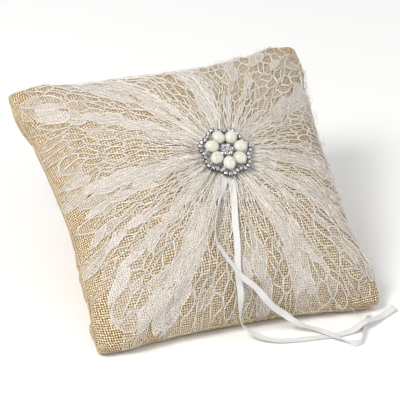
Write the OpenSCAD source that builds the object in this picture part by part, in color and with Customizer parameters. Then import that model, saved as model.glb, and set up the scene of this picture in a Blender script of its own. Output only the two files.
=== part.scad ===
// Ring bearer pillow: a stuffed burlap cushion with a gathered lace overlay,
// a pearl and rhinestone brooch stitched through its middle, and two satin
// ribbon tails. All lengths are millimetres. The cushion leans back on its own
// flattened underside: +Z is up, +X runs along the bottom edge, and the
// dressed face looks up and towards -Y.

/* [Cushion] */
// Side of the square cushion, from corner to corner
pillow_side = 200; // [190:1:210]
// Height of the front crown above the seam
crown_front = 51; // [45:0.5:55]
// Depth of the back crown behind the seam
crown_back = 56; // [52:0.5:60]
// How far each side pulls in between its corners, as a share of half the side
side_pull = 0.092; // [0.04:0.002:0.13]
// Squareness of the crown: higher keeps it full nearer the seams
crown_power = 2.2; // [2:0.05:2.6]
// Roundness of the crown where it meets the seams: lower is rounder
crown_round = 0.55; // [0.5:0.01:0.7]
// Angle at which the cushion leans back
lean = 30; // [26:1:34]
// Thickness of the burlap
burlap_thick = 1.1; // [0.9:0.05:1.3]
// Thickness of the inner lining
lining_thick = 0.4; // [0.3:0.05:0.5]

/* [Lace] */
// Thickness of the corded lace
lace_thick = 0.8; // [0.5:0.05:1]
// Number of radial pleats that the gathering makes
pleat_count = 16; // [12:1:18]
// Height of a pleat at its tallest
pleat_height = 0.8; // [0.4:0.1:1.2]
// Where the free edge stops on the left, as a share of half the side
lace_left = 0.93; // [0.85:0.005:0.97]
// Where the lace stops on the other three sides, as a share of half the side
lace_reach = 0.985; // [0.95:0.005:0.985]

/* [Ribbon] */
// Width of the satin ribbon
ribbon_wide = 4.4; // [4:0.1:5]
// Thickness of the satin ribbon, with the air under it
ribbon_thick = 0.8; // [0.6:0.1:1]

/* [Brooch] */
// Number of petals, each with one pearl
petal_count = 7; // [7:1:7]
// Turn of the first petal from the +X side
petal_turn = 4; // [0:1:30]
// Distance from the brooch's middle to the middle of a pearl
pearl_ring = 10.5; // [10.2:0.1:11.5]
// Length of an oval pearl, along its petal
pearl_long = 9; // [8:0.1:9.4]
// Width of an oval pearl
pearl_wide = 7.4; // [6.6:0.1:7.6]
// Radius of the arc of stones round a pearl
arc_ring = 6.2; // [6:0.1:6.6]
// Diameter of a rhinestone
stone_wide = 2.4; // [2:0.1:2.5]
// Angle between neighbouring stones of an arc
stone_step = 28; // [27:1:32]

/* [Hidden] */

$fn = 48;
tiny = 0.05;

// Cushion
cells = 24;                                // squares along each side of a cushion surface
seam_half = 1.2;                           // half the thickness of the cover at the seam
gap = 0.2;                                 // air between one layer and the next
seat_height = pillow_side / 2 * sin(lean) + 2;
lining_inset = burlap_thick + gap;
fill_inset = lining_inset + lining_thick + gap;
thread_r = 0.35;

// Lace
lace_air = 0.25;                           // air between the burlap and the lace
lace_rings = 10;
lace_sectors = 96;
lace_eye = 0.05;                           // hole that the gathering leaves, as a share of half
lace_square = 8;                           // squareness of the lace's outline

// Brooch
brooch_at = [1.5, 1];
base_under = crown_front + 2.6;
base_thick = 1;
base_top = base_under + base_thick;
petal_step = 360 / petal_count;
cup_r = stone_wide / 2 + 0.25;
cup_high = 1.7;
centre_ring = 3.0;
centre_lift = 2.2;                         // how far the centre stands above the petals
sew_ring = 3.6;
sew_r = 0.6;
post_r = 1.2;

// The stretch of each ribbon that lies on the face: shares of the half sides across and up it,
// height over the burlap, and how far the ribbon is turned about its own line
long_on_face = [
    [0.03, -0.08, 2.1, 0],
    [0.01, -0.18, 2.3, 0],
    [-0.01, -0.28, 2.4, 0],
    [-0.03, -0.38, 2.4, 0],
    [-0.05, -0.48, 2.4, 0],
    [-0.06, -0.58, 2.4, 0],
    [-0.07, -0.67, 2.4, 0],
    [-0.08, -0.75, 2.4, 0],
    [-0.08, -0.82, 2.6, 0]];
short_on_face = [
    [-0.02, -0.08, 2.1, 0],
    [-0.04, -0.17, 2.5, 15],
    [-0.08, -0.25, 3.5, 50],
    [-0.13, -0.33, 4.0, 70],
    [-0.17, -0.41, 4.0, 75],
    [-0.20, -0.49, 4.0, 70],
    [-0.21, -0.57, 4.0, 60],
    [-0.18, -0.65, 4.0, 50],
    [-0.13, -0.73, 4.4, 45],
    [-0.08, -0.80, 5.0, 40],
    [0.02, -0.87, 4.5, 40]];
// The stretch that hangs and lies free: each row is a point, then the way the ribbon's face looks
long_free = [
    [[-8, -85, 31], [0.1, -1, 0.2]],
    [[-8, -86, 24], [0.5, -1, 0.1]],
    [[-8, -87, 17], [1, -0.6, 0.1]],
    [[-7, -88, 11], [1, -0.3, 0.2]],
    [[-3, -90, 7], [0.8, -0.3, 0.6]],
    [[2, -93, 4], [0.3, -0.2, 0.9]],
    [[8, -96, 2], [0.1, -0.1, 1]],
    [[16, -99, 1], [0, 0, 1]],
    [[28, -101, 0.7], [0, 0, 1]],
    [[40, -102, 0.7], [0, 0, 1]],
    [[53, -103, 0.7], [0, 0, 1]],
    [[65, -102, 1.5], [-0.1, 0, 1]],
    [[74, -100, 5], [0, 0, 1]],
    [[83, -96, 3], [0.1, 0, 1]],
    [[92, -91, 1], [0, 0, 1]],
    [[102, -86, 2.5], [-0.1, -0.4, 0.9]]];
short_free = [
    [[8, -87, 27], [-0.3, -1, 0.2]],
    [[15, -87, 19], [-0.3, -1, 0.2]],
    [[22, -87, 13], [-0.3, -0.9, 0.5]],
    [[29, -89, 7.5], [-0.1, -0.4, 0.9]],
    [[36, -92, 4], [0, 0, 1]],
    [[43, -95, 2], [0, 0, 1]],
    [[48, -100, 1.5], [0, 0, 1]],
    [[52, -107, 1.5], [0.2, 0.1, 1]],
    [[56, -114, 2], [0.6, 0.4, 0.7]],
    [[59, -117.5, 2.4], [0.6, 1, 0.1]],
    [[63, -117, 2.4], [-0.4, 1, 0]],
    [[67, -112, 2.4], [-0.9, 0.8, 0]],
    [[71, -105, 2.2], [-0.9, 0.6, 0.3]],
    [[76, -97, 2.2], [-0.8, 0.5, 0.5]],
    [[82, -87, 2.4], [-1, 0.5, 0]]];

// ---- cushion surfaces -------------------------------------------------

// Grid knots from -1 to 1, closer together towards the seams
function knot(i) = -cos(180 * i / cells);

// Share of its half width that the outline keeps at a place along a side
function side_curve(t) = 1 - side_pull * pow(max(0, 1 - t * t), 1.08);

// Height of the crown, 1 in the middle and 0 along the seams
function crown(s, t) =
    pow(max(0, (1 - pow(abs(s), crown_power)) * (1 - pow(abs(t), crown_power))), crown_round);

function lip(inset) = max(seam_half - inset, tiny);
function half_side(inset) = pillow_side / 2 - inset;
function plan(s, t, inset) =
    [half_side(inset) * s * side_curve(t), half_side(inset) * t * side_curve(s)];

// Lowest height at which a layer can lie, because the cushion is pressed flat by what it rests on
function floor_line(y, inset) = (inset - seat_height - y * sin(lean)) / cos(lean);

function front_point(s, t, inset) =
    let (p = plan(s, t, inset))
    [p[0], p[1], lip(inset) + (crown_front - inset - lip(inset)) * crown(s, t)];
function back_point(s, t, inset) =
    let (p = plan(s, t, inset), free = lip(inset) + (crown_back - inset - lip(inset)) * crown(s, t))
    [p[0], p[1], max(-free, floor_line(p[1], inset))];

function front_sheet(inset) =
    [for (j = [0:cells]) for (i = [0:cells]) front_point(knot(i), knot(j), inset)];
function back_sheet(inset) =
    [for (j = [0:cells]) for (i = [0:cells]) back_point(knot(i), knot(j), inset)];

// Triangles of an upper grid of n by m cells that starts at point number k
function upper_faces(n, m, k) =
    [for (j = [0:m - 1]) for (i = [0:n - 1])
        let (a = k + j * (n + 1) + i, b = a + n + 1)
        each [[a, b, b + 1], [a, b + 1, a + 1]]];
function flipped(faces) = [for (f = faces) [f[2], f[1], f[0]]];

// Point numbers round the border of a grid, anticlockwise from its first corner
function border(n, m) = concat(
    [for (i = [0:n - 1]) i],
    [for (j = [0:m - 1]) j * (n + 1) + n],
    [for (i = [n:-1:1]) m * (n + 1) + i],
    [for (j = [m:-1:1]) j * (n + 1)]);
function wall_faces(ring, k) =
    let (n = len(ring))
    [for (i = [0:n - 1])
        let (a = ring[i], b = ring[(i + 1) % n])
        each [[a, b, b + k], [a, b + k, a + k]]];

// A closed layer between an upper and a lower square grid
module layer(upper, lower) {
    count = len(upper);
    polyhedron(
        points = concat(upper, lower),
        faces = concat(
            upper_faces(cells, cells, 0),
            flipped(upper_faces(cells, cells, count)),
            wall_faces(border(cells, cells), count)),
        convexity = 6);
}

// Places what is drawn on the cushion's own face into the part's frame
module on_cushion() {
    translate([0, 0, seat_height])
        rotate([lean, 0, 0])
            children();
}

module fill_core() {
    color("ivory")
        on_cushion()
            layer(front_sheet(fill_inset), back_sheet(fill_inset));
}

module lining_front() {
    color("floralwhite")
        on_cushion()
            layer(front_sheet(lining_inset), front_sheet(lining_inset + lining_thick));
}

module lining_back() {
    color("floralwhite")
        on_cushion()
            layer(back_sheet(lining_inset + lining_thick), back_sheet(lining_inset));
}

module burlap_front() {
    color("tan")
        on_cushion()
            layer(front_sheet(0), front_sheet(burlap_thick));
}

module burlap_back() {
    color("tan")
        on_cushion()
            layer(back_sheet(burlap_thick), back_sheet(0));
}

// ---- swept threads and ribbons ----------------------------------------

function unit(v) = v / norm(v);

// Triangles of a tube of rings, each of n points, with flat ends
function tube_faces(n, rings) = concat(
    [for (j = [0:rings - 2]) for (i = [0:n - 1])
        let (a = j * n + i, b = j * n + (i + 1) % n)
        each [[a, a + n, b + n], [a, b + n, b]]],
    [for (i = [1:n - 2]) [0, i, i + 1]],
    [for (i = [1:n - 2]) let (k = (rings - 1) * n) [k, k + i + 1, k + i]]);

// From the cushion's own face to the part's frame
function leaned(v) =
    [v[0], v[1] * cos(lean) - v[2] * sin(lean), v[1] * sin(lean) + v[2] * cos(lean)];

// A row on the face as a point and a face direction, both in the part's frame
function face_row(row) =
    let (step = 0.01, s = row[0], t = row[1], lift = row[2], turn = row[3],
         here = front_point(s, t, -lift),
         across = unit(front_point(s + step, t, -lift) - here),
         looks = unit(cross(across, front_point(s, t + step, -lift) - here)))
    [leaned(here) + [0, 0, seat_height], leaned(looks * cos(turn) + across * sin(turn))];

function whole_route(on_face, free) = concat([for (row = on_face) face_row(row)], free);

// One flattened ring of a ribbon, square to the route and turned to its face direction
function ribbon_ring(route, i) =
    let (last = len(route) - 1,
         along = unit(route[min(i + 1, last)][0] - route[max(i - 1, 0)][0]),
         side = unit(cross(along, route[i][1])),
         up = cross(side, along))
    [for (a = [22.5:45:337.5])
        route[i][0]
            + side * cos(a) / cos(22.5) * ribbon_wide / 2
            + up * sin(a) / sin(67.5) * ribbon_thick / 2];

module ribbon_tail(route) {
    color("white")
        polyhedron(
            points = [for (i = [0:len(route) - 1]) each ribbon_ring(route, i)],
            faces = tube_faces(8, len(route)),
            convexity = 10);
}

// The tails leave from the lower edge of the fold
module ribbon_fold() {
    color("white")
        on_cushion()
            translate([-4, -7.3, crown_front + 1.4])
                cube([9.2, 3.6, 0.8]);
}

// Outline of the cushion at the seam, from one corner round to the next
seam_steps = 25;
function seam_point(side, i) =
    let (t = -cos(180 * i / seam_steps), p = plan(1, t, 0.5))
    side == 0 ? [p[0], p[1], 0]
    : side == 1 ? [-p[1], p[0], 0]
    : side == 2 ? [-p[0], -p[1], 0]
    : [p[1], -p[0], 0];
seam_loop = [for (side = [0:3]) for (i = [0:seam_steps - 1]) seam_point(side, i)];

// A closed loop of thread with a six-sided section
module thread_loop(loop, r) {
    count = len(loop);
    polyhedron(
        points = [for (i = [0:count - 1])
            let (along = unit(loop[(i + 1) % count] - loop[(i + count - 1) % count]),
                 out = unit(cross(along, [0, 0, 1])))
            each [for (a = [0:60:300]) loop[i] + out * cos(a) * r + [0, 0, sin(a) * r]]],
        faces = [for (j = [0:count - 1]) for (i = [0:5])
            let (k = (j + 1) % count, a = j * 6 + i, b = j * 6 + (i + 1) % 6,
                 c = k * 6 + i, d = k * 6 + (i + 1) % 6)
            each [[a, b, d], [a, d, c]]],
        convexity = 4);
}

module seam_thread() {
    color("wheat")
        on_cushion()
            thread_loop(seam_loop, thread_r);
}

// Ladder stitches that close the gap in the middle of the bottom edge
module closing_stitches() {
    stitch_count = 13;
    stitch_step = 5;
    color("wheat")
        on_cushion()
            for (i = [0:stitch_count - 1]) {
                x = (i - (stitch_count - 1) / 2) * stitch_step;
                s = x / half_side(0);
                translate([x, -half_side(0) * side_curve(s) - thread_r, 0])
                    rotate([0, 12, 0])
                        cylinder(h = 2 * seam_half, r = thread_r, center = true);
            }
}

// ---- lace ---------------------------------------------------------------

// Rounded square that the lace's free edge follows, with its left side drawn in
function lace_outline(a) =
    let (r = pow(pow(abs(cos(a)), lace_square) + pow(abs(sin(a)), lace_square), 1 / lace_square))
    [cos(a) / r * (cos(a) < 0 ? lace_left : lace_reach), sin(a) / r * lace_reach];

function lace_share(k) = lace_eye + (1 - lace_eye) * sin(90 * k / lace_rings);
function pleat(a, q) = pleat_height * (0.5 + 0.5 * cos(pleat_count * a)) * sin(180 * pow(q, 0.6));
function lace_point(a, k, lift) =
    let (q = lace_share(k), st = lace_outline(a) * q, p = front_point(st[0], st[1], -lift))
    [p[0], p[1], p[2] + pleat(a, q)]
        + (1 - q) * [brooch_at[0], brooch_at[1], 0];

function lace_sheet(lift) =
    [for (k = [0:lace_rings]) for (i = [0:lace_sectors - 1])
        lace_point(360 * i / lace_sectors, k, lift)];

module lace_overlay() {
    n = lace_sectors;
    half = n * (lace_rings + 1);
    rim = n * lace_rings;
    color("ivory")
        on_cushion()
            polyhedron(
                points = concat(lace_sheet(lace_air + lace_thick), lace_sheet(lace_air)),
                faces = concat(
                    [for (k = [0:lace_rings - 1]) for (i = [0:n - 1])
                        let (a = k * n + i, b = k * n + (i + 1) % n)
                        each [[a, b, b + n], [a, b + n, a + n],
                              [half + a, half + b + n, half + b],
                              [half + a, half + a + n, half + b + n]]],
                    [for (i = [0:n - 1])
                        let (a = i, b = (i + 1) % n)
                        each [[a, half + b, b], [a, half + a, half + b],
                              [rim + a, rim + b, rim + half + b],
                              [rim + a, rim + half + b, rim + half + a]]]),
                convexity = 8);
}

// Small stitches that catch the rim of the lace down at its corners and sides
module lace_tacks() {
    tack_long = 3;
    color("ivory")
        on_cushion()
            for (a = [0:45:315]) {
                p = lace_point(a, lace_rings, lace_air + lace_thick);
                translate(p + [0, 0, thread_r])
                    rotate([0, 90, a + 90])
                        cylinder(h = tack_long, r = thread_r, center = true);
            }
}

// Ring of running stitch that draws the eye of the lace together
module gather_thread() {
    color("ivory")
        on_cushion()
            translate([brooch_at[0], brooch_at[1], crown_front + 0.5])
                rotate_extrude()
                    translate([4.6, 0])
                        circle(r = thread_r, $fn = 24);
}

// ---- brooch ---------------------------------------------------------------

// Places what is drawn about the brooch's own axis, with z = 0 at its base plate's top
module on_brooch() {
    on_cushion()
        translate([brooch_at[0], brooch_at[1], base_top])
            children();
}

// Turns to a petal and moves out to its pearl
module on_petal(i) {
    on_brooch()
        rotate([0, 0, petal_turn + (i - 1) * petal_step])
            translate([pearl_ring, 0, 0])
                children();
}

module brooch_base() {
    hub_r = 6.6;
    pad_r = 4.6;
    color("silver")
        on_brooch()
            translate([0, 0, -base_thick])
                difference() {
                    union() {
                        cylinder(h = base_thick, r = hub_r);
                        for (i = [0:petal_count - 1])
                            rotate([0, 0, petal_turn + i * petal_step])
                                translate([pearl_ring, 0, 0])
                                    cylinder(h = base_thick, r = pad_r);
                    }
                    for (a = [45:90:315])
                        rotate([0, 0, a])
                            translate([sew_ring, 0, -tiny])
                                cylinder(h = base_thick + 2 * tiny, r = sew_r);
                    translate([0, 0, -tiny])
                        cylinder(h = base_thick + 2 * tiny, r = post_r + tiny);
                }
}

// Two threads over the base plate, each through a pair of sewing holes
module brooch_stitches() {
    reach = sew_ring * sin(45);
    color("white")
        on_brooch()
            for (side = [-1, 1])
                translate([0, side * reach, 0]) {
                    for (x = [-reach, reach])
                        translate([x, 0, crown_front + tiny - base_top])
                            cylinder(h = base_top - crown_front + thread_r, r = thread_r);
                    translate([0, 0, thread_r + tiny])
                        rotate([0, 90, 0])
                            cylinder(h = 2 * reach, r = thread_r, center = true);
                }
}

// A stone's cup: a plain wall outside and a conical seat inside
module stone_cup() {
    seat_low = 0.5;
    rotate_extrude($fn = 32)
        polygon([[0, 0], [cup_r - 0.2, 0], [cup_r, cup_high * 0.6], [cup_r, cup_high],
                 [stone_wide / 2 + tiny, cup_high], [0, seat_low]]);
}

// A brilliant that sits in a cup: pointed below, with a flat table on top
module stone() {
    crown_high = 0.55;
    rotate_extrude($fn = 32)
        polygon([[0, 0.7], [stone_wide / 2 - tiny, cup_high + 0.1],
                 [stone_wide * 0.28, cup_high + crown_high], [0, cup_high + crown_high]]);
}

module along_arc() {
    for (k = [-2:2])
        rotate([0, 0, k * stone_step])
            translate([arc_ring, 0, 0])
                children();
}

// Arc of five stone cups on a curved bar, with a shallow dish for the pearl
module petal_frame(i) {
    bar_wide = 1.2;
    bar_high = 0.7;
    dish_r = 2.6;
    color("silver")
        on_petal(i)
            union() {
                along_arc() stone_cup();
                rotate([0, 0, -2 * stone_step])
                    rotate_extrude(angle = 4 * stone_step)
                        translate([arc_ring - bar_wide / 2, 0])
                            square([bar_wide, bar_high]);
                difference() {
                    cylinder(h = 1.3, r = dish_r);
                    translate([0, 0, 0.4 + 6])
                        sphere(r = 6);
                }
                translate([0, -bar_wide / 2, 0])
                    cube([arc_ring, bar_wide, 0.4]);
            }
}

module petal_stones(i) {
    color("aliceblue")
        on_petal(i)
            along_arc() stone();
}

// Oval pearl that stands in its dish
module pearl(i) {
    steps = 24;
    color("seashell")
        on_petal(i)
            translate([0, 0, 0.5 + pearl_wide / 2])
                rotate([0, 90, 0])
                    rotate_extrude()
                        polygon([for (k = [0:steps])
                            [pearl_wide / 2 * sin(180 * k / steps), -pearl_long / 2 * cos(180 * k / steps)]]);
}

module centre_places() {
    children();
    for (a = [0:60:300])
        rotate([0, 0, a])
            translate([centre_ring, 0, 0])
                children();
}

// Domed disc that carries the seven cups of the centre
module centre_setting() {
    disc_r = 4.2;
    color("silver")
        on_brooch()
            translate([0, 0, centre_lift]) {
                difference() {
                    union() {
                        cylinder(h = 0.7, r = disc_r);
                        centre_places() stone_cup();
                    }
                    translate([0, 0, -tiny])
                        cylinder(h = 0.35, r = post_r + tiny);
                }
            }
}

module centre_stones() {
    color("aliceblue")
        on_brooch()
            translate([0, 0, centre_lift])
                centre_places() stone();
}

// Post that rivets the centre to the base plate
module centre_post() {
    head_high = 0.5;
    color("silver")
        on_brooch() {
            translate([0, 0, -base_thick])
                cylinder(h = base_thick + centre_lift + 0.25, r = post_r);
            translate([0, 0, -base_thick - head_high])
                cylinder(h = head_high, r = post_r + 0.6);
        }
}

fill_core();
lining_front();
lining_back();
burlap_front();
burlap_back();
seam_thread();
closing_stitches();
lace_overlay();
lace_tacks();
gather_thread();
ribbon_fold();
ribbon_tail(whole_route(long_on_face, long_free));  // ribbon_tail_long
ribbon_tail(whole_route(short_on_face, short_free));  // ribbon_tail_short
brooch_base();
brooch_stitches();
centre_post();
centre_setting();
centre_stones();
for (i = [1:petal_count]) {
    petal_frame(i);
    petal_stones(i);
    pearl(i);
}
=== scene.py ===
import math

import bmesh
import bpy
import numpy as np
from mathutils import Matrix, Vector


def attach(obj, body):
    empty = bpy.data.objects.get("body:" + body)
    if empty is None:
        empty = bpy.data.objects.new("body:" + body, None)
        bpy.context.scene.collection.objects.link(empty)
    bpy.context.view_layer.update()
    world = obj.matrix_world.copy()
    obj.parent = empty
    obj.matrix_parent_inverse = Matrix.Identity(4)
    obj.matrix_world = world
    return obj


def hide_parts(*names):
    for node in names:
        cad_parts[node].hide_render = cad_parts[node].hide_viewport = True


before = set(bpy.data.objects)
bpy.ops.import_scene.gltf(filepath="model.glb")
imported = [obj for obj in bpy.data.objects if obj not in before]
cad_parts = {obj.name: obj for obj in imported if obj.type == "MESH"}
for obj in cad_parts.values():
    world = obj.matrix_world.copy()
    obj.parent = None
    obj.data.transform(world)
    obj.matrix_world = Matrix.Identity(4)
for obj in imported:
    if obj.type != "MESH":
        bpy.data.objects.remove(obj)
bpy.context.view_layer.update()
tau = 2 * math.pi


# camera

view = {
    "azimuth": -26.2,      # degrees from straight ahead, towards the cushion's left
    "elevation": 30.4,     # degrees above the table
    "roll": 5.0,           # degrees that the picture is turned
    "distance": 2.5,       # metres from the middle of the cushion
    "lens": 352.0,         # millimetres on a 36 mm sensor
    "middle": (0.0, 0.0, 0.052),
    "aside": (-0.00036, -0.00167),  # metres right and up from the middle to the picture's centre
}


def makeCamera(v):
    # back points from the subject to the camera; right and up are then turned about it by the roll
    a, e, r = (math.radians(v[k]) for k in ("azimuth", "elevation", "roll"))
    back = Vector((math.sin(a) * math.cos(e), -math.cos(a) * math.cos(e), math.sin(e)))
    level = Vector((math.cos(a), math.sin(a), 0))
    upright = back.cross(level)
    right = level * math.cos(r) + upright * math.sin(r)
    up = upright * math.cos(r) - level * math.sin(r)
    data = bpy.data.cameras.new("camera")
    data.lens, data.sensor_width = v["lens"], 36
    data.clip_end = 20
    cam = bpy.data.objects.new("camera", data)
    place = Vector(v["middle"]) + back * v["distance"] + right * v["aside"][0] + up * v["aside"][1]
    turn = Matrix((right, up, back)).transposed().to_4x4()
    cam.matrix_world = Matrix.Translation(place) @ turn
    bpy.context.scene.collection.objects.link(cam)
    bpy.context.scene.camera = cam


makeCamera(view)
print("camera placed")


# shader helper

class Value:
    # one socket, with the arithmetic of its Math nodes
    def __init__(self, paint, socket):
        self.paint, self.socket = paint, socket

    def math(self, operation, *others):
        return self.paint.calculate(operation, self, *others)

    def __add__(self, other):
        return self.math("ADD", other)

    def __radd__(self, other):
        return self.math("ADD", other)

    def __sub__(self, other):
        return self.math("SUBTRACT", other)

    def __rsub__(self, other):
        return self.paint.calculate("SUBTRACT", other, self)

    def __mul__(self, other):
        return self.math("MULTIPLY", other)

    def __rmul__(self, other):
        return self.math("MULTIPLY", other)

    def __pow__(self, other):
        return self.math("POWER", other)

    def __abs__(self):
        return self.math("ABSOLUTE")

    def cos(self):
        return self.math("COSINE")

    def above(self, other):
        return self.math("MAXIMUM", other)

    def clamped(self):
        return self.math("MAXIMUM", 0.0).math("MINIMUM", 1.0)


class Paint:
    # one material; its nodes are made by node()
    def __init__(self, name):
        self.material = bpy.data.materials.new(name)
        self.material.use_nodes = True
        self.tree = self.material.node_tree
        self.tree.nodes.clear()

    def node(self, kind, settings=None, inputs=None, output=0):
        # a node of this type, its settings made first, then the values or links of its sockets
        made = self.tree.nodes.new(kind)
        for key, value in (settings or {}).items():
            if key == "stops":
                ramp = made.color_ramp
                while len(ramp.elements) < len(value):
                    ramp.elements.new(0.5)
                for element, (at, colour) in zip(ramp.elements, value):
                    element.position, element.color = at, (*colour, 1)
            else:
                setattr(made, key, value)
        for key, value in (inputs or {}).items():
            if isinstance(value, Value):
                self.tree.links.new(value.socket, made.inputs[key])
            else:
                made.inputs[key].default_value = value
        return Value(self, made.outputs[output]) if len(made.outputs) else made

    def calculate(self, operation, *values):
        return self.node("ShaderNodeMath", {"operation": operation}, dict(enumerate(values)))

    def attribute(self, name):
        return self.node("ShaderNodeAttribute", {"attribute_name": name}, output=2)

    def place(self):
        return self.node("ShaderNodeTexCoord", output=3)

    def stretched(self, u, v):
        return self.node("ShaderNodeCombineXYZ", None, {0: u, 1: v})

    def noise(self, coords, scale, detail=2.0):
        return self.node("ShaderNodeTexNoise", None, {"Vector": coords, "Scale": scale, "Detail": detail})

    def ramp(self, factor, *stops):
        return self.node("ShaderNodeValToRGB", {"stops": stops}, {0: factor})

    def bump(self, height, strength, distance):
        return self.node("ShaderNodeBump", None,
                         {"Height": height, "Strength": strength, "Distance": distance})

    def surface(self, **inputs):
        names = {key.replace("_", " "): value for key, value in inputs.items()}
        shader = self.node("ShaderNodeBsdfPrincipled", None, names)
        self.node("ShaderNodeOutputMaterial", None, {"Surface": shader})
        return self.material


# mesh helpers

def makeMesh(name, points, faces, material, uv=None, values=None, faceValues=None, smooth=True):
    # points (n,3), faces (m,3) or (m,4); uv (n,2) and values {name: (n,)} are given per point,
    # faceValues {name: (m,)} per face
    points, faces = np.asarray(points, np.float32), np.asarray(faces, np.int32)
    mesh = bpy.data.meshes.new(name)
    mesh.vertices.add(len(points))
    mesh.vertices.foreach_set("co", points.ravel())
    count, corners = faces.shape
    mesh.loops.add(count * corners)
    mesh.loops.foreach_set("vertex_index", faces.ravel())
    mesh.polygons.add(count)
    mesh.polygons.foreach_set("loop_start", np.arange(count, dtype=np.int32) * corners)
    mesh.update(calc_edges=True)
    mesh.polygons.foreach_set("use_smooth", np.full(count, smooth))
    if uv is not None:
        layer = mesh.uv_layers.new(name="cloth")
        layer.data.foreach_set("uv", np.asarray(uv, np.float32)[faces.ravel()].ravel())
    for key, array in (values or {}).items():
        mesh.attributes.new(key, "FLOAT", "POINT").data.foreach_set("value", np.asarray(array, np.float32))
    for key, array in (faceValues or {}).items():
        mesh.attributes.new(key, "FLOAT", "FACE").data.foreach_set("value", np.asarray(array, np.float32))
    mesh.materials.append(material)
    made = bpy.data.objects.new(name, mesh)
    bpy.context.scene.collection.objects.link(made)
    return made


def seal(made):
    # merges the points that meet at a pole, closes open ends and turns every face outwards
    whole = bmesh.new()
    whole.from_mesh(made.data)
    bmesh.ops.remove_doubles(whole, verts=whole.verts, dist=2.5e-6)
    bmesh.ops.holes_fill(whole, edges=whole.edges, sides=0)
    bmesh.ops.recalc_face_normals(whole, faces=whole.faces)
    whole.to_mesh(made.data)
    whole.free()
    made.data.update()
    return made


def finished(made, slotName, *nodes):
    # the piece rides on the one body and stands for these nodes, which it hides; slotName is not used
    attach(made, "root")
    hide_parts(*nodes)
    return made


def gridFaces(rows, columns, wrapRows=False, wrapColumns=False, start=0):
    # quads of a grid whose point number is row * columns + column
    i, j = np.meshgrid(np.arange(rows if wrapRows else rows - 1),
                       np.arange(columns if wrapColumns else columns - 1), indexing="ij")
    k, m = (i + 1) % rows, (j + 1) % columns
    quads = np.stack([i * columns + j, i * columns + m, k * columns + m, k * columns + j], -1)
    return quads.reshape(-1, 4) + start


def unit(v):
    # each vector over its own length
    return v / np.maximum(np.linalg.norm(v, axis=-1, keepdims=True), 1e-12)


def tubes(lines, facing, radius, sides, closed=False, flat=1.0):
    # lines (n,k,3) are centre lines, facing (n,k,3) the way each one's back looks;
    # the section is an ellipse, radius wide and radius * flat high
    if closed:
        along = unit(np.roll(lines, -1, 1) - np.roll(lines, 1, 1))
    else:
        along = unit(np.gradient(lines, axis=1))
    side = unit(np.cross(along, facing))
    up = np.cross(side, along)
    turn = np.arange(sides) * tau / sides + tau / 4
    radius = np.asarray(radius)[..., None, None] if np.ndim(radius) else radius
    ring = (side[:, :, None] * np.cos(turn)[:, None] + up[:, :, None] * np.sin(turn)[:, None] * flat) * radius
    points = (lines[:, :, None] + ring).reshape(-1, 3)
    n, k = lines.shape[:2]
    one = gridFaces(k, sides, wrapRows=closed, wrapColumns=True)
    faces = (one[None] + (np.arange(n) * k * sides)[:, None, None]).reshape(-1, 4)
    return points, faces


def joined(*shapes):
    # several shapes as one list of points and faces
    starts = np.cumsum([0] + [len(points) for points, _ in shapes[:-1]])
    faces = [f + start for (_, f), start in zip(shapes, starts)]
    return np.vstack([points for points, _ in shapes]), np.vstack(faces)


def waves(x, y, seed, count, short, long):
    # soft noise: a sum of plane waves in random directions, lengths from short to long
    rng = np.random.default_rng(seed)
    total = 0
    for _ in range(count):
        heading, length, phase = rng.uniform(0, tau), rng.uniform(short, long), rng.uniform(0, tau)
        total = total + np.cos((x * math.cos(heading) + y * math.sin(heading)) * tau / length + phase)
    return total / math.sqrt(count)


def smoothStep(x, low, high):
    # 0 below low, 1 above high, 3t2 - 2t3 between
    t = np.clip((x - low) / (high - low), 0, 1)
    return t * t * (3 - 2 * t)


# cushion surface

cushion = {
    "half": 0.1,            # half the side
    "crownFront": 0.051,
    "crownBack": 0.056,
    "sidePull": 0.092,      # how far the sides draw in, as a share of half
    "pullPower": 1.08,
    "crownPower": 2.2,
    "crownRound": 0.55,
    "lean": 30.0,           # degrees
    "seat": 0.052,          # height of the middle of the seam plane
    "seamHalf": 0.0012,
    "cloth": 0.112,         # half the side of the flat panel that is sewn into the face
    "cornerBlunt": 0.045,
    "broochAt": (0.0015, 0.001),
    "inset": 0.985,         # directions are read no nearer to a seam than this share
    "seamFold": 0.00022,    # heights of the gathers at the seams,
    "cornerFold": 0.0005,   # the folds out of the corners
    "slackFold": 0.0004,    # and the slow waves of slack cloth
    "press": 0.0012,        # how softly the back meets the table
    "clear": 0.0002,        # air between the cloth and the table
    "corners": ((-0.007, -0.003, -1, 1), (0.003, 0.001, 1, 1),
                (-0.004, 0.001, 1, -1), (-0.005, 0.001, -1, -1)),  # moves in x and y, then which corner
}


def sideCurve(t):
    # 1 at a corner, drawn in by sidePull at the middle of a side
    return 1 - cushion["sidePull"] * np.maximum(0, 1 - t * t) ** cushion["pullPower"]


def crown(s, t):
    # 0 at the seams, 1 in the middle: a power curve each way, their product rounded by crownRound
    p = cushion["crownPower"]
    full = np.maximum(0, 1 - np.abs(s) ** p) * np.maximum(0, 1 - np.abs(t) ** p)
    return full ** cushion["crownRound"]


def plan(s, t):
    # outline pulled in along its sides, blunted at its corners, each corner then moved a little
    blunt = 1 - cushion["cornerBlunt"] * np.clip(s * s * t * t, 0, 1) ** 6
    x = cushion["half"] * s * sideCurve(t) * blunt
    y = cushion["half"] * t * sideCurve(s) * blunt
    for dx, dy, cs, ct in cushion["corners"]:
        near = np.clip((1 + cs * s) / 2, 0, 1) ** 3 * np.clip((1 + ct * t) / 2, 0, 1) ** 3
        x, y = x + dx * near, y + dy * near
    return x, y


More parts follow.
